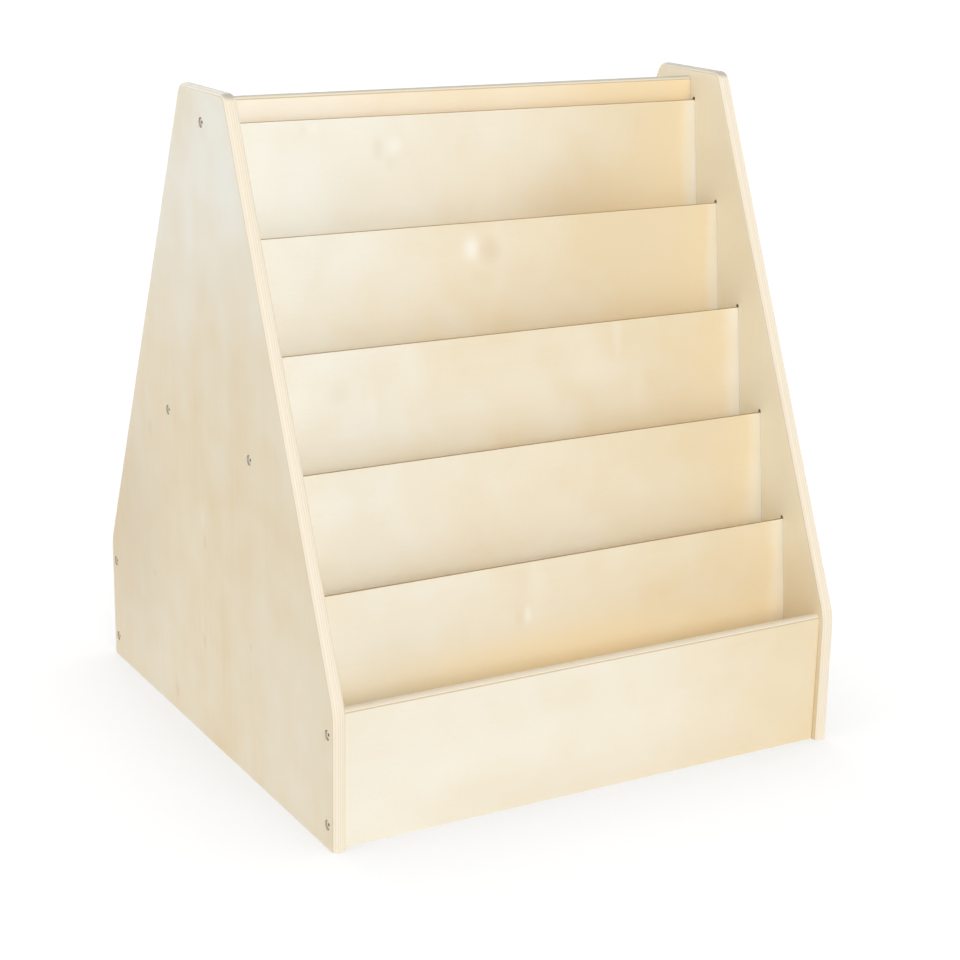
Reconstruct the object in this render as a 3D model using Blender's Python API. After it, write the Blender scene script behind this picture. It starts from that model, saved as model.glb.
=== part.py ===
"""Double-sided book display shelf in plywood, screwed together, with five tilted pockets on each face.

Units are metres and +Z is up. X runs along the width and the front face looks along -Y. The origin is on the
floor, in the middle of the base. The rear face is the front face turned half a turn about Z.
"""
import math

import bmesh
import bpy
from mathutils import Vector

# Overall size
WIDTH = 0.762
DEPTH = 0.762
HEIGHT = 0.889

# Clearance between pieces that touch, and the distance under which mesh points are one
FIT = 0.0003
WELD = 0.00001

# Side panels
SIDE_THICKNESS = 0.018
TOP_DEPTH = 0.1465
KNEE_HEIGHT = 0.1825
TOP_RADIUS = 0.016
KNEE_RADIUS = 0.075
EDGE_ROUND = 0.006

# Ledges across the foot of each face
LEDGE_THICKNESS = 0.016
LEDGE_RECESS = 0.0105
LEDGE_HEIGHT = 0.1825
LEDGE_SCREW_INSET = 0.0315

# Rails between the side panels
RAIL_THICKNESS = 0.016
RAIL_ROUND = 0.006
TOP_RAIL_HEIGHT = 0.062
TOP_RAIL_DROP = 0.012
MID_RAIL_HEIGHT = 0.038
MID_RAIL_SETBACK = 0.012
MID_RAIL_TIER = 1

# Display panels, counted from 0 at the top of each face
TIERS = 5
PANEL_THICKNESS = 0.005
PANEL_HEIGHT = 0.254
PANEL_TILT = math.radians(6)
PANEL_EASE = 0.0018
FIRST_PANEL_DROP = 0.0435
FIRST_PANEL_GAP = 0.0068
LAST_PANEL_FOOT = 0.043
LAST_POCKET_DEPTH = 0.051

# Pocket floors, and the dados that hold panels and floors
FLOOR_THICKNESS = 0.009
PANEL_DADO_DEPTH = 0.006
FLOOR_DADO_DEPTH = 0.007
DADO_RUNOUT = 0.004

# Screws with a hex socket and a flat head, sunk into a counterbore
SCREW_DIAMETER = 0.006
SCREW_LENGTH = 0.050
SCREW_POINT = 0.004
HEAD_DIAMETER = 0.013
HEAD_THICKNESS = 0.002
HEAD_EASE = 0.0005
HEAD_RECESS = 0.002
COUNTERBORE_DIAMETER = 0.014
SOCKET_WIDTH = 0.004
SOCKET_DEPTH = 0.0025

# Dowels beside the screw in each rail end
DOWEL_DIAMETER = 0.006
DOWEL_LENGTH = 0.030
DOWEL_SEAT = 0.010
DOWEL_OFFSET = 0.012
DOWEL_EASE = 0.0008

# Facets of round shapes, the bevel profile that is part of a circle, and the least angle of a sharp edge
CORNER_STEPS = 4
EDGE_STEPS = 4
ROUND_STEPS = 12
CIRCLE_PROFILE = 0.5
SHARP_ANGLE = math.radians(30)

# Finishes: linear colour and roughness, and how far a metal's surface is metallic
FINISHES = {
    "birch_side": ((0.76, 0.68, 0.55), 0.45, 0.0),
    "birch_ledge": ((0.89, 0.81, 0.65), 0.42, 0.0),
    "birch_rail": ((0.89, 0.76, 0.53), 0.42, 0.0),
    "birch_panel": ((0.84, 0.76, 0.58), 0.42, 0.0),
    "birch_floor": ((0.80, 0.70, 0.51), 0.50, 0.0),
    "steel": ((0.60, 0.60, 0.62), 0.30, 1.0),
    "beech": ((0.66, 0.48, 0.30), 0.60, 0.0),
}

# Places worked out from the sizes above
HALF_WIDTH = WIDTH / 2
INNER_HALF = HALF_WIDTH - SIDE_THICKNESS
RAIL_HALF = INNER_HALF - FIT
PANEL_DADO_HALF = INNER_HALF + PANEL_DADO_DEPTH
FLOOR_DADO_HALF = INNER_HALF + FLOOR_DADO_DEPTH
LEDGE_FRONT = -DEPTH / 2 + LEDGE_RECESS
LEDGE_BACK = LEDGE_FRONT + LEDGE_THICKNESS
TOP_RAIL_Z = HEIGHT - TOP_RAIL_DROP - TOP_RAIL_HEIGHT / 2

# Tilt: how far a length up a panel, or out from its front, goes back and up
LEAN = math.sin(PANEL_TILT)
RISE = math.cos(PANEL_TILT)

# Top front edges of the first and last front panels, and the steps between them
FIRST_Y = -(RAIL_THICKNESS / 2 + FIRST_PANEL_GAP + PANEL_THICKNESS / RISE)
FIRST_Z = HEIGHT - FIRST_PANEL_DROP
LAST_Y = LEDGE_BACK + LAST_POCKET_DEPTH + PANEL_HEIGHT * LEAN
LAST_Z = LAST_PANEL_FOOT + PANEL_HEIGHT * RISE
STEP_Y = (LAST_Y - FIRST_Y) / (TIERS - 1)
STEP_Z = (LAST_Z - FIRST_Z) / (TIERS - 1)
PANEL_PITCH = STEP_Z * LEAN - STEP_Y * RISE

# Front (y, z) of a mid rail's middle, in the tilted frame of the panel behind its pocket
MID_RAIL_OUT = PANEL_PITCH - PANEL_THICKNESS - MID_RAIL_SETBACK - RAIL_THICKNESS / 2
MID_RAIL_DOWN = PANEL_HEIGHT + FIT + MID_RAIL_HEIGHT / 2


def clear_scene():
    """Remove whatever the scene holds."""
    for thing in list(bpy.data.objects):
        bpy.data.objects.remove(thing, do_unlink=True)


def finish_material(finish):
    """Principled material of one named finish, made once."""
    material = bpy.data.materials.get(finish)
    if material is None:
        colour, roughness, metallic = FINISHES[finish]
        material = bpy.data.materials.new(finish)
        material.use_nodes = True
        shader = material.node_tree.nodes["Principled BSDF"]
        shader.inputs["Base Color"].default_value = (*colour, 1.0)
        shader.inputs["Roughness"].default_value = roughness
        shader.inputs["Metallic"].default_value = metallic
    return material


def add_empty(name, turn, parent=None):
    """Empty that carries a group of pieces, turned about Z."""
    empty = bpy.data.objects.new(name, None)
    empty.rotation_euler.z = turn
    empty.parent = parent
    bpy.context.scene.collection.objects.link(empty)
    return empty


def add_object(name, mesh, parent, place=(0, 0, 0), tilt=0.0, turn=0.0):
    """Object at a place under its parent, tilted about X or turned about Z."""
    thing = bpy.data.objects.new(name, mesh)
    thing.parent = parent
    thing.location = place
    thing.rotation_euler = (tilt, 0, turn)
    bpy.context.scene.collection.objects.link(thing)
    return thing


def add_cutter(name, mesh, parent, place=(0, 0, 0), tilt=0.0, turn=0.0):
    """Hidden solid that only cuts others."""
    cutter = add_object(name, mesh, parent, place, tilt, turn)
    cutter.hide_render = True
    cutter.display_type = "WIRE"
    return cutter


def cut(thing, cutters):
    """Subtract a group of cutters from an object."""
    group = bpy.data.collections.new(f"{thing.name}_cutters")
    for cutter in cutters:
        group.objects.link(cutter)
    boolean = thing.modifiers.new("joinery", "BOOLEAN")
    boolean.operation = "DIFFERENCE"
    boolean.solver = "EXACT"
    boolean.operand_type = "COLLECTION"
    boolean.collection = group


def finished_mesh(name, mesh_data, finish):
    """Mesh from a bmesh, welded, with outward faces, smooth round parts and its finish."""
    bmesh.ops.remove_doubles(mesh_data, verts=mesh_data.verts, dist=WELD)
    bmesh.ops.recalc_face_normals(mesh_data, faces=mesh_data.faces)
    mesh = bpy.data.meshes.new(name)
    mesh_data.to_mesh(mesh)
    mesh_data.free()
    mesh.shade_smooth()
    mesh.set_sharp_from_angle(angle=SHARP_ANGLE)
    if finish:
        mesh.materials.append(finish_material(finish))
    return mesh


def rounded_outline(corners):
    """Points of a closed convex outline, counter-clockwise, from corners (across, up, radius), square at 0."""
    points = []
    for index, (across, up, radius) in enumerate(corners):
        corner = Vector((across, up))
        if radius == 0:
            points.append(corner)
            continue
        following = corners[(index + 1) % len(corners)]
        to_last = (Vector(corners[index - 1][:2]) - corner).normalized()
        to_next = (Vector(following[:2]) - corner).normalized()
        half_angle = to_last.angle(to_next) / 2
        centre = corner + (to_last + to_next).normalized() * radius / math.sin(half_angle)
        start = corner + to_last * radius / math.tan(half_angle) - centre
        first = math.atan2(start.y, start.x)
        turn = math.pi - 2 * half_angle
        for step in range(CORNER_STEPS + 1):
            angle = first + turn * step / CORNER_STEPS
            points.append(centre + radius * Vector((math.cos(angle), math.sin(angle))))
    return points


def swept(outline, start, end):
    """Bmesh of an outline in Y and Z, extruded along X from start to end."""
    solid = bmesh.new()
    face = solid.faces.new([solid.verts.new((start, y, z)) for y, z in outline])
    added = bmesh.ops.extrude_face_region(solid, geom=[face])["geom"]
    moved = [item for item in added if isinstance(item, bmesh.types.BMVert)]
    bmesh.ops.translate(solid, verts=moved, vec=(end - start, 0, 0))
    return solid


def extruded(name, outline, start, end, finish=None):
    """Mesh of an outline in Y and Z, extruded along X from start to end."""
    return finished_mesh(name, swept(outline, start, end), finish)


def board_section(y_low, y_high, z_low, z_high, low_radius, high_radius):
    """Outline of a board's section in Y and Z, with its lower and upper long edges rounded over."""
    return rounded_outline([
        (y_low, z_low, low_radius),
        (y_high, z_low, low_radius),
        (y_high, z_high, high_radius),
        (y_low, z_high, high_radius),
    ])


def turned(profile):
    """Bmesh of a profile of (along X, radius) spun once about X."""
    solid = bmesh.new()
    verts = [solid.verts.new((along, 0, radius)) for along, radius in profile]
    edges = [solid.edges.new(pair) for pair in zip(verts, verts[1:])]
    bmesh.ops.spin(solid, geom=verts + edges, cent=(0, 0, 0), axis=(1, 0, 0), steps=ROUND_STEPS,
                   angle=2 * math.pi, use_merge=True)
    bmesh.ops.remove_doubles(solid, verts=solid.verts, dist=WELD)
    return solid


def side_outline():
    """Six-sided outline of a side panel in Y and Z, square at the floor and rounded at its other corners."""
    return rounded_outline([
        (-DEPTH / 2, 0, 0),
        (DEPTH / 2, 0, 0),
        (DEPTH / 2, KNEE_HEIGHT, KNEE_RADIUS),
        (TOP_DEPTH / 2, HEIGHT, TOP_RADIUS),
        (-TOP_DEPTH / 2, HEIGHT, TOP_RADIUS),
        (-DEPTH / 2, KNEE_HEIGHT, KNEE_RADIUS),
    ])


def side_mesh(name, start, end):
    """Side panel with its rim rounded over on both faces, apart from the edges that stand on the floor."""
    solid = swept(side_outline(), start, end)
    bmesh.ops.recalc_face_normals(solid, faces=solid.faces)
    rim = []
    for edge in solid.edges:
        first, second = [vert.co for vert in edge.verts]
        on_one_face = abs(first.x - second.x) < WELD
        on_floor = max(first.z, second.z) < WELD
        if on_one_face and not on_floor:
            rim.append(edge)
    bmesh.ops.bevel(solid, geom=rim, offset=EDGE_ROUND, segments=EDGE_STEPS, profile=CIRCLE_PROFILE,
                    affect="EDGES")
    return finished_mesh(name, solid, "birch_side")


def add_side_panel(name, parent, start, end, cutters):
    """Side panel, bored and routed."""
    cut(add_object(name, side_mesh(name, start, end), parent), cutters)


def add_ledge(name, face, cutters):
    """Ledge across the foot of one face, square at the floor and rounded over along its top edges."""
    section = board_section(LEDGE_FRONT, LEDGE_BACK, 0, LEDGE_HEIGHT, 0, EDGE_ROUND)
    ledge = add_object(name, extruded(name, section, -RAIL_HALF, RAIL_HALF, "birch_ledge"), face)
    cut(ledge, cutters)


def add_rail(name, parent, height, place, tilt, cutters):
    """Rail centred on its place, rounded over along its long edges."""
    half_thickness = RAIL_THICKNESS / 2
    section = board_section(-half_thickness, half_thickness, -height / 2, height / 2, RAIL_ROUND, RAIL_ROUND)
    rail = add_object(name, extruded(name, section, -RAIL_HALF, RAIL_HALF, "birch_rail"), parent, place, tilt)
    cut(rail, cutters)


def tier_place(tier):
    """Top front edge of a front display panel."""
    return (0, FIRST_Y + tier * STEP_Y, FIRST_Z + tier * STEP_Z)


def tier_point(tier, out, down):
    """Front (y, z) of a point in front of a panel and below its top edge, measured square to the panel."""
    _, y, z = tier_place(tier)
    return (y - out * RISE - down * LEAN, z + out * LEAN - down * RISE)


def panel_section():
    """Section of a display panel, behind and below its top front edge, with eased edges."""
    return board_section(0, PANEL_THICKNESS, -PANEL_HEIGHT, 0, PANEL_EASE, PANEL_EASE)


def panel_dado_section():
    """Section of the round-ended dado that a display panel slides into."""
    half_width = PANEL_THICKNESS / 2 + FIT
    return board_section(-FIT, PANEL_THICKNESS + FIT, -PANEL_HEIGHT - DADO_RUNOUT, DADO_RUNOUT,
                         half_width, half_width)


def floor_section(tier, gap):
    """Section of a pocket floor between a panel's front and the next panel's back, grown by a gap.

    The last floor meets the upright back of the ledge, so its front end is cut to that slope.
    """
    bottom = -PANEL_HEIGHT - gap
    top = -PANEL_HEIGHT + FLOOR_THICKNESS + gap
    back = gap - FIT
    if tier < TIERS - 1:
        front_bottom = -PANEL_PITCH + PANEL_THICKNESS + FIT - gap
        front_top = front_bottom
    else:
        reach = LEDGE_BACK + FIT - gap - LAST_Y
        front_bottom = (reach - bottom * LEAN) / RISE
        front_top = (reach - top * LEAN) / RISE
    return [(front_bottom, bottom), (back, bottom), (back, top), (front_top, top)]


def add_tiers(side, face):
    """Display panels and pocket floors of one face. Returns the cutters of their dados."""
    cutters = []
    panel_half = PANEL_DADO_HALF - FIT
    floor_half = FLOOR_DADO_HALF - FIT
    panel_mesh = extruded("display_panel", panel_section(), -panel_half, panel_half, "birch_panel")
    panel_dado = extruded("panel_dado", panel_dado_section(), -PANEL_DADO_HALF, PANEL_DADO_HALF)
    for tier in range(TIERS):
        number = tier + 1
        place = tier_place(tier)
        floor_name = f"{side}_pocket_floor_{number}"
        floor_mesh = extruded(floor_name, floor_section(tier, 0.0), -floor_half, floor_half, "birch_floor")
        floor_dado = extruded("floor_dado", floor_section(tier, FIT), -FLOOR_DADO_HALF, FLOOR_DADO_HALF)
        add_object(f"{side}_display_panel_{number}", panel_mesh, face, place, -PANEL_TILT)
        add_object(floor_name, floor_mesh, face, place, -PANEL_TILT)
        cutters.append(add_cutter(f"{side}_panel_dado_{number}", panel_dado, face, place, -PANEL_TILT))
        cutters.append(add_cutter(f"{side}_floor_dado_{number}", floor_dado, face, place, -PANEL_TILT))
    return cutters


def screw_mesh():
    """Screw along +X from the outer face of a side panel, with a hex socket in its head."""
    head_radius = HEAD_DIAMETER / 2
    shank_radius = SCREW_DIAMETER / 2
    neck = HEAD_RECESS + HEAD_THICKNESS
    end = neck + SCREW_LENGTH
    solid = turned([
        (HEAD_RECESS, head_radius - HEAD_EASE),
        (HEAD_RECESS + HEAD_EASE, head_radius),
        (neck, head_radius),
        (neck, shank_radius),
        (end - SCREW_POINT, shank_radius),
        (end, 0),
    ])
    rim = [edge for edge in solid.edges if edge.is_boundary]
    mouth = bmesh.ops.create_circle(solid, segments=6, radius=SOCKET_WIDTH / math.sqrt(3))["verts"]
    for vert in mouth:
        vert.co = (HEAD_RECESS, vert.co.x, vert.co.y)
    socket = [edge for edge in solid.edges if edge.is_wire]
    bmesh.ops.bridge_loops(solid, edges=rim + socket)
    walls = bmesh.ops.extrude_edge_only(solid, edges=socket)["geom"]
    deep = [item for item in walls if isinstance(item, bmesh.types.BMVert)]
    bmesh.ops.translate(solid, verts=deep, vec=(SOCKET_DEPTH, 0, 0))
    bmesh.ops.holes_fill(solid, edges=[edge for edge in solid.edges if edge.is_boundary])
    return finished_mesh("screw", solid, "steel")


def screw_bore_mesh():
    """Counterbore and clear bore of a screw, open at the outer face."""
    bore_radius = SCREW_DIAMETER / 2 + FIT
    shoulder = HEAD_RECESS + HEAD_THICKNESS + FIT
    end = shoulder + SCREW_LENGTH
    return finished_mesh("screw_bore", turned([
        (-HEAD_RECESS, 0),
        (-HEAD_RECESS, COUNTERBORE_DIAMETER / 2),
        (shoulder, COUNTERBORE_DIAMETER / 2),
        (shoulder, bore_radius),
        (end, bore_radius),
        (end, 0),
    ]), None)


def dowel_mesh(gap, finish):
    """Dowel along +X from the outer face of a side panel, grown by a gap."""
    start = SIDE_THICKNESS - DOWEL_SEAT - gap
    end = SIDE_THICKNESS - DOWEL_SEAT + DOWEL_LENGTH + gap
    radius = DOWEL_DIAMETER / 2 + gap
    return finished_mesh("dowel", turned([
        (start, 0),
        (start, radius - DOWEL_EASE),
        (start + DOWEL_EASE, radius),
        (end - DOWEL_EASE, radius),
        (end, radius - DOWEL_EASE),
        (end, 0),
    ]), finish)


def joint_places():
    """Screw and dowel places (y, z) in a side panel, under the name of the board that they hold."""
    mid_y, mid_z = tier_point(MID_RAIL_TIER, MID_RAIL_OUT, MID_RAIL_DOWN)
    peg_y, peg_z = tier_point(MID_RAIL_TIER, MID_RAIL_OUT, MID_RAIL_DOWN + DOWEL_OFFSET)
    ledge_y = (LEDGE_FRONT + LEDGE_BACK) / 2
    low = LEDGE_SCREW_INSET
    high = LEDGE_HEIGHT - LEDGE_SCREW_INSET
    places = {"top_rail": {"screw": (0, TOP_RAIL_Z), "dowel": (0, TOP_RAIL_Z - DOWEL_OFFSET)}}
    for side, sign in (("front", 1), ("rear", -1)):
        places[f"{side}_mid_rail"] = {"screw": (sign * mid_y, mid_z), "dowel": (sign * peg_y, peg_z)}
        places[f"{side}_ledge"] = {"upper_screw": (sign * ledge_y, high), "lower_screw": (sign * ledge_y, low)}
    return places


def add_fasteners(root):
    """Screws and dowels of both side panels. Returns their bores by side and by board."""
    screw = screw_mesh()
    screw_bore = screw_bore_mesh()
    dowel = dowel_mesh(0.0, "beech")
    dowel_bore = dowel_mesh(FIT, None)
    bores = {}
    for side, sign, turn in (("left", -1, 0.0), ("right", 1, math.pi)):
        for board, fasteners in joint_places().items():
            for fastener, (y, z) in fasteners.items():
                name = f"{side}_{board}_{fastener}"
                place = (sign * HALF_WIDTH, y, z)
                is_screw = fastener.endswith("screw")
                add_object(name, screw if is_screw else dowel, root, place, turn=turn)
                bore_mesh = screw_bore if is_screw else dowel_bore
                bore = add_cutter(f"{name}_bore", bore_mesh, root, place, turn=turn)
                bores.setdefault(side, []).append(bore)
                bores.setdefault(board, []).append(bore)
    return bores


def build():
    """The whole shelf under one empty, with one empty for each face."""
    clear_scene()
    root = add_empty("book_display_shelf", 0.0)
    faces = {"front": add_empty("front_face", 0.0, root), "rear": add_empty("rear_face", math.pi, root)}
    bores = add_fasteners(root)
    dados = []
    mid_rail_place = (0, *tier_point(MID_RAIL_TIER, MID_RAIL_OUT, MID_RAIL_DOWN))
    for side, face in faces.items():
        dados += add_tiers(side, face)
        add_ledge(f"{side}_ledge", face, bores[f"{side}_ledge"])
        add_rail(f"{side}_mid_rail", face, MID_RAIL_HEIGHT, mid_rail_place, -PANEL_TILT,
                 bores[f"{side}_mid_rail"])
    add_rail("top_rail", root, TOP_RAIL_HEIGHT, (0, 0, TOP_RAIL_Z), 0.0, bores["top_rail"])
    add_side_panel("left_side_panel", root, -HALF_WIDTH, -INNER_HALF, dados + bores["left"])
    add_side_panel("right_side_panel", root, INNER_HALF, HALF_WIDTH, dados + bores["right"])


build()
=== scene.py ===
"""Looks of the book display shelf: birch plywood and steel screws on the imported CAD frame.

Units are metres and +Z is up, as in the CAD part. The front face looks along -Y.
"""
import math
from collections import namedtuple

import bpy
from mathutils import Matrix, Vector

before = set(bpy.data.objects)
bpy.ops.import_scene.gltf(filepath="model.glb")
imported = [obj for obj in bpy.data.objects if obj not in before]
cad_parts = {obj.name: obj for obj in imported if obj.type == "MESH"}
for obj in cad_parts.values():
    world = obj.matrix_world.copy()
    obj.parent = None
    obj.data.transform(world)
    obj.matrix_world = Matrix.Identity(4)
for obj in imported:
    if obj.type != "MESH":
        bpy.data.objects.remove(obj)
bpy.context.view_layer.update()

# Directions of the shelf
WIDTHWISE = Vector((1, 0, 0))
DEPTHWISE = Vector((0, 1, 0))
UPRIGHT = Vector((0, 0, 1))

# Camera, found from the shelf's own lines in a square picture
CAMERA_PLACE = Vector((-1.40865, -2.50653, 1.19554))
CAMERA_YAW = math.radians(-29.936)
CAMERA_PITCH = math.radians(-16.842)
CAMERA_ROLL = math.radians(1.085)
CAMERA_LENS = 79.592
CAMERA_SENSOR = 36.0

# Light. A level is the share of white that a white surface facing that light alone would reach.
# Azimuth 0 is in front of the shelf and positive to its right. Angles are in degrees.
Sun = namedtuple("Sun", "azimuth elevation spread level")
SUNS = {
    "key_light": Sun(-5, 28, 45, 0.52),
    "left_light": Sun(-90, 20, 45, 0.235),
    "rear_light": Sun(180, 20, 45, 0.38),
    "right_light": Sun(90, 10, 45, 0.22),
}

# Surround: its level at the horizon and overhead, and the power by which it falls between them
SKY_HORIZON = 0.58
SKY_ZENITH = 0.25
SKY_FALL = 2.0

# Floor: how white it is for the light and where it is seen, how much of white is added where it is seen,
# and how much of that is taken away as a painted shadow where the shelf stands close over it
FLOOR_REACH = 30.0
FLOOR_ALBEDO = 0.9
FLOOR_SEEN = 0.3
FLOOR_LIFT = 0.825
FLOOR_SHADE = 0.45
SHADE_REACH = 0.4

# Shape of the CAD boards, and the width of a side panel's rim that its bores and dados stay clear of
PANEL_TILT = math.radians(6)
REAR_TURN = math.pi
SIDE_TOP_DEPTH = 0.1465
SIDE_KNEE_HEIGHT = 0.1825
SIDE_RIM = 0.008

# Smooth rounds: the most that a smooth edge turns, and the distance under which mesh points are one
SMOOTH_ANGLE = math.radians(35)
WELD = 0.00001

# Display colours, red, green and blue from 0 to 255
VENEER_PALE = (246, 244, 233)
VENEER_WARM = (234, 215, 178)
INNER_PALE = (253, 244, 221)
RAIL_PALE = (252, 243, 226)
RAIL_WARM = (244, 221, 179)
BACK_PALE = (254, 241, 212)
BACK_WARM = (250, 229, 186)
CORE_PALE = (245, 235, 217)
CORE_DARK = (239, 225, 199)
UNDER_PLY = (212, 191, 152)
SIDE_UNDER = (228, 212, 184)
PANEL_CORE = (178, 148, 104)
# Raw wood in the dados and bores, darkened partly by painted shade
DADO_WOOD_AND_SHADE = (182, 162, 128)
BORE_WOOD_AND_SHADE = (202, 190, 168)
# Painted shade: a grey laid on edges and tops that look up, as if little light fell from overhead
TOP_SHADE_GREY = (198, 192, 177)
GLUE = (150, 120, 82)
PORE = (214, 190, 150)
KNOT_PALE = (252, 247, 236)
KNOT_BROWN = (208, 180, 134)
# Painted light: a warm gold that lifts the shade low in the fifth panel's pocket
POCKET_BOUNCE_GOLD = (255, 234, 190)
BEECH_PALE = (214, 182, 142)
BEECH_WARM = (190, 152, 110)
STEEL_PALE = (240, 236, 226)
STEEL_DARK = (222, 217, 205)
# Painted shade, down in the socket of a screw head
SOCKET_SHADE = (104, 97, 90)
WHITE = (255, 255, 255)

# Plywood: thickness of the face veneers and of the dark ply under each, number of plies between the faces,
# their colours, how plain the glue lines are, and how steeply an edge looks up where painted grey shade
# starts on it
Build = namedtuple("Build", "face under cores under_colour pale dark glue grey_from")
SIDE_BOARD = Build(0.0003, 0.0004, 11, SIDE_UNDER, CORE_PALE, CORE_DARK, 0.2, 0.42)
RAIL_BOARD = Build(0.0003, 0.0006, 11, UNDER_PLY, CORE_PALE, CORE_DARK, 0.2, 0.62)
THICK_BOARD = Build(0.0003, 0.0006, 11, UNDER_PLY, CORE_PALE, CORE_DARK, 0.2, None)
FLOOR_BOARD = Build(0.0003, 0.0006, 5, UNDER_PLY, CORE_PALE, CORE_DARK, 0.2, None)
THIN_BOARD = Build(0.0003, 0.0, 1, PANEL_CORE, PANEL_CORE, PANEL_CORE, 0.0, None)

# Half a glue line, how far the plies waver, over what rise the painted grey shade on an edge grows, and how
# much of it there is
GLUE_HALF = 0.00012
PLY_WAVER = 0.0001
TOP_SHADE_RISE = 0.38
TOP_SHADE_SHARE = 0.95

# Veneers: the pale and the warm colour between which a face varies
Veneer = namedtuple("Veneer", "pale warm")
FACE_VENEER = Veneer(VENEER_PALE, VENEER_WARM)
INNER_VENEER = Veneer(INNER_PALE, VENEER_WARM)
RAIL_VENEER = Veneer(RAIL_PALE, RAIL_WARM)
BACK_VENEER = Veneer(BACK_PALE, BACK_WARM)

# Tones of the front veneer along the grain, 0 pale and 1 warm: at the start and middle of a board, near its
# end and at its end. They are partly the veneer's own colour and partly painted light. Back veneers have the
# even ones.
Tones = namedtuple("Tones", "start middle near_end end")
NEAR_END = 0.945
EVEN_TONES = Tones(0.30, 0.50, 0.70, 0.50)
TONES_AND_PAINTED_LIGHT = {
    # Painted light: the front boards run pale at the left to warm at the right partly as light falls across
    # them, and the display panels turn paler at their right ends to lift the shade in the corner by the right
    # side panel
    "front_display_panel_1": Tones(-0.05, 0.51, 1.08, 0.30),
    "front_display_panel_2": Tones(0.12, 0.78, 1.05, 0.15),
    "front_display_panel_3": Tones(0.16, 0.58, 0.88, 0.15),
    "front_display_panel_4": Tones(0.38, 0.60, 1.02, 0.40),
    "front_display_panel_5": Tones(0.34, 0.67, 0.94, 0.25),
    "front_ledge": Tones(0.30, 0.38, 0.88, 0.88),
    "top_rail": Tones(0.00, 0.60, 1.00, 0.80),
    # Painted light: the left side panel is paler toward its top partly as light falls on it
    "left_side_panel": Tones(0.66, 0.74, 0.22, 0.30),
    # Painted light: the right side panel is warmest at its foot, where warm light bounces in the bottom
    # corner
    "right_side_panel": Tones(1.05, 0.14, 0.18, 0.25),
}
WARMEST = 1.4

# How strongly a board is figured, against the left side panel
EVEN_FIGURE = 0.8
FIGURES = {
    "left_side_panel": 1.0,
    "right_side_panel": 0.7,
    "front_display_panel_1": 0.75,
    "front_display_panel_2": 1.0,
    "front_display_panel_3": 1.0,
    "front_display_panel_5": 0.9,
    "front_ledge": 0.55,
}

# Grain: waves per metre along and across it, fineness and swirl. A board's seed moves its grains along,
# across and through it.
Grain = namedtuple("Grain", "along across detail swirl")
CLOUD = Grain(2.0, 6.0, 3.0, 0.0)
FLAME = Grain(15.0, 13.0, 1.5, 0.3)
STREAK = Grain(5.0, 170.0, 4.0, 0.0)
PORES = Grain(110.0, 2600.0, 2.0, 0.0)
WAVER = Grain(9.0, 9.0, 2.0, 0.0)
BOARD_GRAINS = (CLOUD, FLAME, STREAK, PORES, WAVER)
TURNED = Grain(30.0, 700.0, 3.0, 0.0)
SCUFF = Grain(900.0, 900.0, 2.0, 0.0)
SEED_STEP = 3.7
SEED_SHIFTS = (1.0, 0.37, 0.61)

# How much each grain warms a veneer, the change that keeps its mean even, and where and how plainly
# pores show
CLOUD_WEIGHT = 0.9
FLAME_WEIGHT = 0.5
STREAK_WEIGHT = 0.1
EVEN_CHANGE = -(CLOUD_WEIGHT + FLAME_WEIGHT + STREAK_WEIGHT) / 2
PORE_RANGE = (0.60, 0.75)
PORE_SHARE = 0.22

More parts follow.
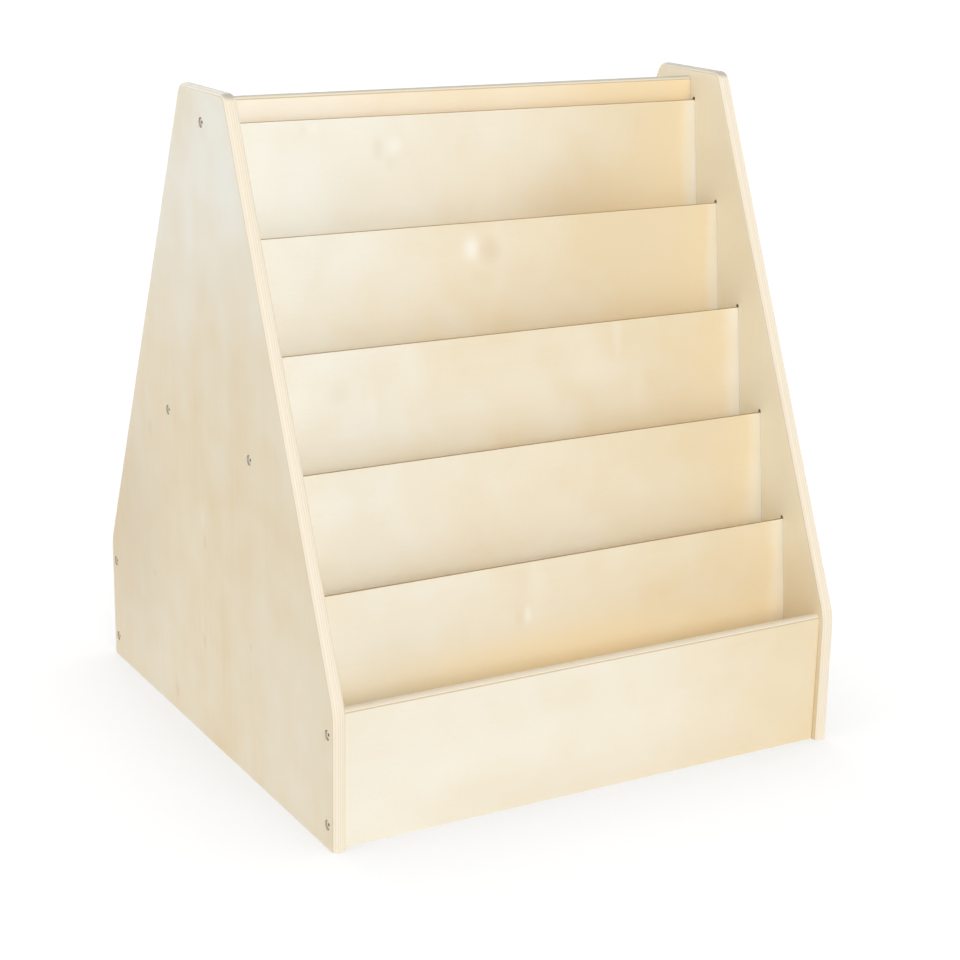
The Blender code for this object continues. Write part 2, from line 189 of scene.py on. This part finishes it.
# Marks in the face veneer, one of them painted light: place along and across the grain, reach along and
# across it, and share and colour at the middle
Mark = namedtuple("Mark", "along across length width share colour")
MARKS = {
    "front_display_panel_1": [
        Mark(0.250, 0.215, 0.018, 0.019, 0.50, KNOT_PALE),
        Mark(0.226, 0.212, 0.013, 0.022, 0.17, KNOT_BROWN),
        Mark(0.243, 0.192, 0.016, 0.016, 0.09, KNOT_BROWN),
        Mark(0.135, 0.242, 0.010, 0.010, 0.30, KNOT_PALE),
        Mark(0.119, 0.240, 0.008, 0.012, 0.08, KNOT_BROWN),
        Mark(0.520, 0.130, 0.150, 0.110, 0.25, KNOT_BROWN),
    ],
    "front_display_panel_2": [
        Mark(0.330, 0.215, 0.040, 0.045, 0.15, KNOT_PALE),
        Mark(0.333, 0.220, 0.019, 0.026, 0.70, KNOT_PALE),
        Mark(0.361, 0.215, 0.026, 0.027, 0.26, KNOT_BROWN),
        Mark(0.343, 0.181, 0.018, 0.014, 0.08, KNOT_BROWN),
        Mark(0.450, 0.130, 0.170, 0.110, 0.13, KNOT_BROWN),
    ],
    "front_display_panel_3": [
        Mark(0.105, 0.199, 0.024, 0.024, 0.10, KNOT_BROWN),
        Mark(0.528, 0.231, 0.012, 0.045, 0.20, KNOT_PALE),
        Mark(0.559, 0.160, 0.020, 0.040, 0.12, KNOT_PALE),
        Mark(0.151, 0.179, 0.012, 0.040, 0.20, KNOT_PALE),
    ],
    "front_display_panel_5": [
        Mark(0.316, 0.183, 0.009, 0.019, 0.50, KNOT_PALE),
        Mark(0.330, 0.222, 0.022, 0.040, 0.15, KNOT_PALE),
        Mark(0.303, 0.180, 0.012, 0.014, 0.10, KNOT_BROWN),
        # Painted light: a wide gold mark lifts the shade low in this pocket, as warm bounced light would
        Mark(0.400, 0.112, 0.600, 0.080, 0.75, POCKET_BOUNCE_GOLD),
    ],
    "left_side_panel": [
        Mark(0.285, 0.394, 0.016, 0.009, 0.25, KNOT_BROWN),
        Mark(0.318, 0.400, 0.020, 0.008, 0.20, KNOT_PALE),
        Mark(0.182, 0.584, 0.009, 0.009, 0.20, KNOT_BROWN),
        Mark(0.140, 0.401, 0.015, 0.009, 0.25, KNOT_BROWN),
        Mark(0.165, 0.407, 0.018, 0.009, 0.20, KNOT_PALE),
        Mark(0.186, 0.245, 0.008, 0.008, 0.17, KNOT_BROWN),
        Mark(0.396, 0.588, 0.020, 0.012, 0.17, KNOT_BROWN),
        Mark(0.029, 0.506, 0.020, 0.012, 0.20, KNOT_BROWN),
        Mark(0.536, 0.283, 0.050, 0.035, 0.10, KNOT_BROWN),
        Mark(0.230, 0.690, 0.320, 0.260, 0.40, KNOT_BROWN),
    ],
    "front_ledge": [
        Mark(0.360, 0.000, 0.500, 0.090, 0.22, KNOT_BROWN),
    ],
}

# Satin lacquer: its roughness from the low to the high streaks, the height that they stand, and its gloss
STREAK_RANGE = (0.2, 0.8)
LACQUER_ROUGHNESS = (0.40, 0.52)
STREAK_BUMP = 0.05
STREAK_HEIGHT = 0.0003
LACQUER_SPECULAR = 0.3
COAT_WEIGHT = 0.08
COAT_ROUGHNESS = 0.3

# Beech and steel: the stretch of their grain that shows, their roughness, how metallic the steel is, and how
# far below the head's flat a screw gets painted socket shade
SHOWN_RANGE = (0.3, 0.7)
BEECH_ROUGHNESS = 0.55
STEEL_ROUGHNESS = (0.40, 0.55)
STEEL_METALLIC = 0.5
SOCKET_EASE = 0.0004

# Sockets of Blender's mix node that take and give colours
MIX_INPUTS = (0, 6, 7)
MIX_OUTPUT = 2

# A board in its own frame: sockets for the place in it, whether that is in its back half and how far the
# nearest face is, and the board's reach
Board = namedtuple("Board", "node place along across at_back nearest length thickness seed")


def linear(colour):
    """Scene colour, with alpha, of a display colour."""
    shares = [channel / 255 for channel in colour]
    light = [share / 12.92 if share <= 0.04045 else ((share + 0.055) / 1.055) ** 2.4 for share in shares]
    return (*light, 1.0)


def add_node(tree, kind, **settings):
    """Shader or geometry node with its properties set."""
    node = tree.nodes.new(kind)
    for name, value in settings.items():
        setattr(node, name, value)
    return node


def feed(tree, socket, value):
    """Link a socket to an input, or set the input to a plain value."""
    if isinstance(value, bpy.types.NodeSocket):
        tree.links.new(value, socket)
    else:
        socket.default_value = value


def feed_all(tree, node, values):
    """Feed inputs of a node by their names."""
    for name, value in values.items():
        feed(tree, node.inputs[name], value)


def calc(tree, operation, *values):
    """Result of a math node."""
    node = add_node(tree, "ShaderNodeMath", operation=operation)
    for socket, value in zip(node.inputs, values):
        feed(tree, socket, value)
    return node.outputs[0]


def ramp(tree, value, low, high, start=0.0, end=1.0):
    """Value taken smoothly from start at low to end at high."""
    node = add_node(tree, "ShaderNodeMapRange", interpolation_type="SMOOTHSTEP")
    feed_all(tree, node, {"Value": value, "From Min": low, "From Max": high, "To Min": start, "To Max": end})
    return node.outputs["Result"]


def blend(tree, share, first, second):
    """Colour between two colours."""
    node = add_node(tree, "ShaderNodeMix", data_type="RGBA")
    for index, given in zip(MIX_INPUTS, (share, first, second)):
        feed(tree, node.inputs[index], given)
    return node.outputs[MIX_OUTPUT]


def coordinates(tree, kind):
    """Coordinates of a shaded point."""
    return add_node(tree, "ShaderNodeTexCoord").outputs[kind]


def split(tree, vector):
    """Shares of a vector along X, Y and Z."""
    node = add_node(tree, "ShaderNodeSeparateXYZ")
    feed(tree, node.inputs[0], vector)
    return tuple(node.outputs)


def noise(tree, place, grain, seed):
    """Noise of a grain, from 0 to 1."""
    mapping = add_node(tree, "ShaderNodeMapping", vector_type="POINT")
    scale = (grain.along, grain.across, grain.across)
    shift = [seed * share for share in SEED_SHIFTS]
    feed_all(tree, mapping, {"Vector": place, "Scale": scale, "Location": shift})
    node = add_node(tree, "ShaderNodeTexNoise", noise_dimensions="3D")
    feed_all(tree, node, {
        "Vector": mapping.outputs["Vector"],
        "Scale": 1.0,
        "Detail": grain.detail,
        "Distortion": grain.swirl,
    })
    return node.outputs["Fac"]


def new_material(name):
    """Node material, its tree and its shader."""
    material = bpy.data.materials.new(name)
    material.use_nodes = True
    return material, material.node_tree, material.node_tree.nodes["Principled BSDF"]


def reach_of(node, axis):
    """Lowest place of a CAD node along an axis, and its length there."""
    places = [vertex.co.dot(axis) for vertex in node.data.vertices]
    return min(places), max(places) - min(places)


def board_of(tree, node, axes, seed):
    """Board with its axes along the grain, across it and out of its front, from its lowest corner."""
    lows, lengths = zip(*[reach_of(node, axis) for axis in axes])
    length, thickness = lengths[0], lengths[2]
    corner = Vector()
    for axis, low in zip(axes, lows):
        corner += axis * low
    mapping = add_node(tree, "ShaderNodeMapping", vector_type="TEXTURE")
    turn = Matrix(axes).transposed().to_euler()
    feed_all(tree, mapping, {"Vector": coordinates(tree, "Object"), "Location": corner, "Rotation": turn})
    place = mapping.outputs["Vector"]
    along, across, through = split(tree, place)
    at_back = calc(tree, "LESS_THAN", through, thickness / 2)
    nearest = calc(tree, "MINIMUM", through, calc(tree, "SUBTRACT", thickness, through))
    return Board(node, place, along, across, at_back, nearest, length, thickness, seed)


def board_noise(tree, board, grain):
    """Noise of one of a board's own grains."""
    return noise(tree, board.place, grain, board.seed + BOARD_GRAINS.index(grain))


def tone_along(tree, board, tones):
    """Tone of a veneer at a place along the grain, with any painted light that its tones hold."""
    middle, near_end = board.length / 2, board.length * NEAR_END
    tone = ramp(tree, board.along, 0.0, middle, tones.start, tones.middle)
    later = ramp(tree, board.along, middle, near_end, 0.0, tones.near_end - tones.middle)
    last = ramp(tree, board.along, near_end, board.length, 0.0, tones.end - tones.near_end)
    return calc(tree, "ADD", calc(tree, "ADD", tone, later), last)


def marked(tree, face, place, mark):
    """Face veneer with one mark."""
    mapping = add_node(tree, "ShaderNodeMapping", vector_type="TEXTURE")
    middle, reach = (mark.along, mark.across, 0), (mark.length, mark.width, 1)
    feed_all(tree, mapping, {"Vector": place, "Location": middle, "Scale": reach})
    distance = add_node(tree, "ShaderNodeVectorMath", operation="LENGTH")
    feed(tree, distance.inputs[0], mapping.outputs["Vector"])
    share = ramp(tree, distance.outputs["Value"], 0.0, 1.0, mark.share, 0.0)
    return blend(tree, share, face, linear(mark.colour))


def veneer(tree, board, front, back, streak):
    """Colour of a board's birch face veneers, with its figure, pores and marks, and the painted light that
    its tones and one mark hold.
    """
    name = board.node.name
    change = calc(tree, "MULTIPLY_ADD", board_noise(tree, board, CLOUD), CLOUD_WEIGHT, EVEN_CHANGE)
    change = calc(tree, "MULTIPLY_ADD", board_noise(tree, board, FLAME), FLAME_WEIGHT, change)
    change = calc(tree, "MULTIPLY_ADD", streak, STREAK_WEIGHT, change)
    front_tone_and_light = tone_along(tree, board, TONES_AND_PAINTED_LIGHT.get(name, EVEN_TONES))
    tone = ramp(tree, board.at_back, 0.0, 1.0, front_tone_and_light, tone_along(tree, board, EVEN_TONES))
    share = calc(tree, "MULTIPLY_ADD", change, FIGURES.get(name, EVEN_FIGURE), tone)
    share = calc(tree, "MINIMUM", calc(tree, "MAXIMUM", share, 0.0), WARMEST)
    pale = blend(tree, board.at_back, linear(front.pale), linear(back.pale))
    warm = blend(tree, board.at_back, linear(front.warm), linear(back.warm))
    face = blend(tree, share, pale, warm)
    pores = ramp(tree, board_noise(tree, board, PORES), *PORE_RANGE, 0.0, PORE_SHARE)
    face = blend(tree, pores, face, linear(PORE))
    for mark in MARKS.get(name, []):
        face = marked(tree, face, board.place, mark)
    return face


def plies(tree, board, build, face):
    """Face veneer outside, and plies and glue lines by depth inside."""
    ply = (board.thickness - 2 * build.face) / build.cores
    depth = calc(tree, "MULTIPLY_ADD", board_noise(tree, board, WAVER), PLY_WAVER, board.nearest)
    layer = calc(tree, "DIVIDE", calc(tree, "SUBTRACT", depth, build.face + PLY_WAVER / 2), ply)
    every_other = calc(tree, "MODULO", calc(tree, "FLOOR", calc(tree, "MAXIMUM", layer, 0.0)), 2.0)
    core = blend(tree, every_other, linear(build.pale), linear(build.dark))
    core = blend(tree, calc(tree, "LESS_THAN", layer, build.under / ply), core, linear(build.under_colour))
    wood = blend(tree, calc(tree, "GREATER_THAN", layer, 0.0), face, core)
    to_glue = calc(tree, "MULTIPLY", calc(tree, "PINGPONG", layer, 0.5), ply)
    return blend(tree, ramp(tree, to_glue, 0.0, GLUE_HALF, build.glue, 0.0), wood, linear(GLUE))


def painted_top_shade(tree, low):
    """Share of painted grey shade on a surface that looks up, from where its normal rises by low."""
    rise = split(tree, coordinates(tree, "Normal"))[2]
    return ramp(tree, rise, low, low + TOP_SHADE_RISE, 0.0, TOP_SHADE_SHARE)


def cut_share(tree, board):
    """1 in the bores and dados of a side panel, 0 on its faces and round its rim."""
    height, half_depth = board.length, reach_of(board.node, DEPTHWISE)[1] / 2
    lean = (half_depth - SIDE_TOP_DEPTH / 2) / (height - SIDE_KNEE_HEIGHT)
    half = calc(tree, "MULTIPLY_ADD", board.along, -lean, SIDE_TOP_DEPTH / 2 + height * lean)
    half = calc(tree, "MINIMUM", half, half_depth)
    from_middle = calc(tree, "ABSOLUTE", calc(tree, "SUBTRACT", board.across, half_depth))
    inside = calc(tree, "GREATER_THAN", calc(tree, "SUBTRACT", half, from_middle), SIDE_RIM)
    inside = calc(tree, "MULTIPLY", inside, calc(tree, "LESS_THAN", board.along, height - SIDE_RIM))
    inside = calc(tree, "MULTIPLY", inside, calc(tree, "GREATER_THAN", board.along, SIDE_RIM))
    return calc(tree, "MULTIPLY", inside, calc(tree, "GREATER_THAN", board.nearest, SIDE_BOARD.face))


def raw_wood_and_shade(tree, board):
    """Raw wood of a side panel, darkened partly by painted shade: in the bores of its outer half and the
    dados of its inner half.
    """
    front, back = (BORE_WOOD_AND_SHADE, DADO_WOOD_AND_SHADE) if is_left(board.node) else (DADO_WOOD_AND_SHADE, BORE_WOOD_AND_SHADE)
    return blend(tree, board.at_back, linear(front), linear(back))


def lacquer(tree, shader, streak):
    """Satin lacquer that the streaks of the veneer show through."""
    feed(tree, shader.inputs["Roughness"], ramp(tree, streak, *STREAK_RANGE, *LACQUER_ROUGHNESS))
    bump = add_node(tree, "ShaderNodeBump")
    feed_all(tree, bump, {"Strength": STREAK_BUMP, "Distance": STREAK_HEIGHT, "Height": streak})
    feed(tree, shader.inputs["Normal"], bump.outputs["Normal"])
    shader.inputs["Specular IOR Level"].default_value = LACQUER_SPECULAR
    shader.inputs["Coat Weight"].default_value = COAT_WEIGHT
    shader.inputs["Coat Roughness"].default_value = COAT_ROUGHNESS


def plywood(node, axes, build, front, back, seed):
    """Lacquered birch plywood of one board."""
    material, tree, shader = new_material(f"plywood_{node.name}")
    board = board_of(tree, node, axes, seed)
    streak = board_noise(tree, board, STREAK)
    wood = plies(tree, board, build, veneer(tree, board, front, back, streak))
    # Painted shade: edges and tops that look up are greyed, as if little light came from above
    if build.grey_from:
        wood = blend(tree, painted_top_shade(tree, build.grey_from), wood, linear(TOP_SHADE_GREY))
    # Bores and dados get raw wood, darkened partly with painted shade
    if build is SIDE_BOARD:
        wood = blend(tree, cut_share(tree, board), wood, raw_wood_and_shade(tree, board))
    feed(tree, shader.inputs["Base Color"], wood)
    lacquer(tree, shader, streak)
    return material


def beech():
    """Turned beech of the dowels."""
    material, tree, shader = new_material("beech")
    streak = noise(tree, coordinates(tree, "Object"), TURNED, 0)
    wood = blend(tree, ramp(tree, streak, *SHOWN_RANGE), linear(BEECH_PALE), linear(BEECH_WARM))
    feed_all(tree, shader, {"Base Color": wood, "Roughness": BEECH_ROUGHNESS})
    return material


def steel(node):
    """Zinc-plated steel of one screw, bright on the flat of its head, with painted shade down in its socket.
    """
    material, tree, shader = new_material(f"steel_{node.name}")
    place = coordinates(tree, "Object")
    scuff = noise(tree, place, SCUFF, 0)
    plated = blend(tree, ramp(tree, scuff, *SHOWN_RANGE), linear(STEEL_PALE), linear(STEEL_DARK))
    head = max((vertex.co.x for vertex in node.data.vertices), key=abs)
    depth = calc(tree, "ABSOLUTE", calc(tree, "SUBTRACT", split(tree, place)[0], head))
    # Painted shade: below the head's flat the socket is darkened
    socket_shade_share = calc(tree, "GREATER_THAN", depth, SOCKET_EASE)
    feed(tree, shader.inputs["Base Color"], blend(tree, socket_shade_share, plated, linear(SOCKET_SHADE)))
    feed(tree, shader.inputs["Roughness"], ramp(tree, scuff, *SHOWN_RANGE, *STEEL_ROUGHNESS))
    shader.inputs["Metallic"].default_value = STEEL_METALLIC
    return material


def smooth_rounds():
    """Geometry nodes that join split points and shade rounds smooth and edges sharp."""
    tree = bpy.data.node_groups.new("smooth_rounds", "GeometryNodeTree")
    tree.interface.new_socket("Geometry", in_out="INPUT", socket_type="NodeSocketGeometry")
    tree.interface.new_socket("Geometry", in_out="OUTPUT", socket_type="NodeSocketGeometry")
    plain = add_node(tree, "GeometryNodeRemoveAttribute")
    plain.inputs["Name"].default_value = "custom_normal"
    weld = add_node(tree, "GeometryNodeMergeByDistance")
    weld.inputs["Distance"].default_value = WELD
    faces = add_node(tree, "GeometryNodeSetShadeSmooth", domain="FACE")
    edges = add_node(tree, "GeometryNodeSetShadeSmooth", domain="EDGE")
    soft = add_node(tree, "FunctionNodeCompare", data_type="FLOAT", operation="LESS_THAN")
    angle = add_node(tree, "GeometryNodeInputMeshEdgeAngle")
    feed_all(tree, soft, {"A": angle.outputs["Unsigned Angle"], "B": SMOOTH_ANGLE})
    feed(tree, edges.inputs["Shade Smooth"], soft.outputs["Result"])
    steps = [add_node(tree, "NodeGroupInput"), plain, weld, faces, edges, add_node(tree, "NodeGroupOutput")]
    for step, following in zip(steps, steps[1:]):
        tree.links.new(step.outputs[0], following.inputs[0])
    return tree


def dress(node, material, smoothing):
    """Give a CAD node its material and smooth rounds."""
    node.data.materials.clear()
    node.data.materials.append(material)
    node.modifiers.new("smooth_rounds", "NODES").node_group = smoothing
    node.modifiers.new("flat_faces", "WEIGHTED_NORMAL").keep_sharp = True


def is_left(node):
    """Whether a CAD node is on the shelf's left."""
    return node.name.startswith("left")


def board_material(name, node, seed):
    """Plywood of one board, by what the board is."""
    turn = Matrix.Rotation(REAR_TURN if name.startswith("rear") else 0.0, 3, "Z")
    along = turn @ WIDTHWISE
    up = turn @ Vector((0, math.sin(PANEL_TILT), math.cos(PANEL_TILT)))
    out = along.cross(up)
    if "side_panel" in name:
        front, back = (FACE_VENEER, INNER_VENEER) if is_left(node) else (INNER_VENEER, FACE_VENEER)
        return plywood(node, (UPRIGHT, DEPTHWISE, -WIDTHWISE), SIDE_BOARD, front, back, seed)
    if "display_panel" in name:
        return plywood(node, (along, up, out), THIN_BOARD, FACE_VENEER, BACK_VENEER, seed)
    if "pocket_floor" in name:
        return plywood(node, (along, -out, up), FLOOR_BOARD, BACK_VENEER, BACK_VENEER, seed)
    if "mid_rail" in name:
        return plywood(node, (along, up, out), THICK_BOARD, BACK_VENEER, BACK_VENEER, seed)
    face_axes = (along, UPRIGHT, along.cross(UPRIGHT))
    if name == "top_rail":
        return plywood(node, face_axes, RAIL_BOARD, RAIL_VENEER, RAIL_VENEER, seed)
    return plywood(node, face_axes, THICK_BOARD, FACE_VENEER, BACK_VENEER, seed)


def dress_shelf():
    """Material and smooth rounds of every CAD node."""
    smoothing = smooth_rounds()
    dowel_beech = beech()
    for number, (name, node) in enumerate(sorted(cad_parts.items())):
        if name.endswith("screw"):
            dress(node, steel(node), smoothing)
        elif name.endswith("dowel"):
            dress(node, dowel_beech, smoothing)
        else:
            dress(node, board_material(name, node, SEED_STEP * number), smoothing)


def seen_directly(tree):
    """1 for rays from the camera and for mirrored and refracted ones, 0 for light."""
    path = add_node(tree, "ShaderNodeLightPath")
    seen = calc(tree, "MAXIMUM", path.outputs["Is Camera Ray"], path.outputs["Is Glossy Ray"])
    return calc(tree, "MAXIMUM", seen, path.outputs["Is Transmission Ray"])


def floor_material():
    """White that is lifted where it is seen, with a painted shadow where the shelf stands close over it."""
    material, tree, shader = new_material("floor_white")
    shader.inputs["Specular IOR Level"].default_value = 0.0
    shader.inputs["Emission Color"].default_value = linear(WHITE)
    # Painted shadow: the added white is dimmed by occlusion where the shelf stands close
    openness = add_node(tree, "ShaderNodeAmbientOcclusion")
    openness.inputs["Distance"].default_value = SHADE_REACH
    lit = calc(tree, "MULTIPLY_ADD", openness.outputs["AO"], FLOOR_SHADE, 1 - FLOOR_SHADE)
    lift = calc(tree, "MULTIPLY", lit, FLOOR_LIFT)
    seen = seen_directly(tree)
    whiteness = calc(tree, "MULTIPLY_ADD", seen, FLOOR_SEEN - FLOOR_ALBEDO, FLOOR_ALBEDO)
    feed_all(tree, shader, {"Emission Strength": calc(tree, "MULTIPLY", seen, lift), "Base Color": whiteness})
    return material


def add_floor():
    """Wide white floor that keeps the shelf's shadow."""
    mesh = bpy.data.meshes.new("floor")
    corners = [(-1, -1), (1, -1), (1, 1), (-1, 1)]
    mesh.from_pydata([(x * FLOOR_REACH, y * FLOOR_REACH, 0) for x, y in corners], [], [(0, 1, 2, 3)])
    mesh.materials.append(floor_material())
    floor = bpy.data.objects.new("floor", mesh)
    bpy.context.scene.collection.objects.link(floor)


def add_world():
    """Soft white surround, brightest beside the floor, and at full white where it is seen."""
    world = bpy.data.worlds.new("surround")
    world.use_nodes = True
    bpy.context.scene.world = world
    tree = world.node_tree
    rise = split(tree, coordinates(tree, "Generated"))[2]
    lowness = calc(tree, "SUBTRACT", 1.0, calc(tree, "MAXIMUM", rise, 0.0))
    fall = calc(tree, "POWER", lowness, SKY_FALL)
    level = calc(tree, "MULTIPLY_ADD", fall, SKY_HORIZON - SKY_ZENITH, SKY_ZENITH)
    strength = ramp(tree, seen_directly(tree), 0.0, 1.0, level, 1.0)
    feed_all(tree, tree.nodes["Background"], {"Color": linear(WHITE), "Strength": strength})


def add_sun(name, sun):
    """Soft sun lamp that shines on the whole scene from one side."""
    light = bpy.data.lights.new(name, "SUN")
    light.angle = math.radians(sun.spread)
    light.energy = sun.level * math.pi
    turn, rise = math.radians(sun.azimuth), math.radians(sun.elevation)
    source = Vector((math.sin(turn) * math.cos(rise), -math.cos(turn) * math.cos(rise), math.sin(rise)))
    lamp = bpy.data.objects.new(name, light)
    lamp.rotation_mode = "QUATERNION"
    lamp.rotation_quaternion = (-source).to_track_quat("-Z", "Y")
    bpy.context.scene.collection.objects.link(lamp)


def add_camera():
    """Camera at the photograph's place."""
    forward = Vector((
        -math.sin(CAMERA_YAW) * math.cos(CAMERA_PITCH),
        math.cos(CAMERA_YAW) * math.cos(CAMERA_PITCH),
        math.sin(CAMERA_PITCH),
    ))
    level = Vector((math.cos(CAMERA_YAW), math.sin(CAMERA_YAW), 0))
    over = level.cross(forward)
    right = math.cos(CAMERA_ROLL) * level + math.sin(CAMERA_ROLL) * over
    up = -math.sin(CAMERA_ROLL) * level + math.cos(CAMERA_ROLL) * over
    turn = Matrix((right, up, -forward)).transposed().to_4x4()
    data = bpy.data.cameras.new("camera")
    data.lens = CAMERA_LENS
    data.sensor_width = CAMERA_SENSOR
    camera = bpy.data.objects.new("camera", data)
    camera.matrix_world = Matrix.Translation(CAMERA_PLACE) @ turn
    bpy.context.scene.collection.objects.link(camera)
    bpy.context.scene.camera = camera


dress_shelf()
add_floor()
add_world()
for light_name, light_sun in SUNS.items():
    add_sun(light_name, light_sun)
add_camera()
bpy.context.scene.view_settings.view_transform = "Standard"
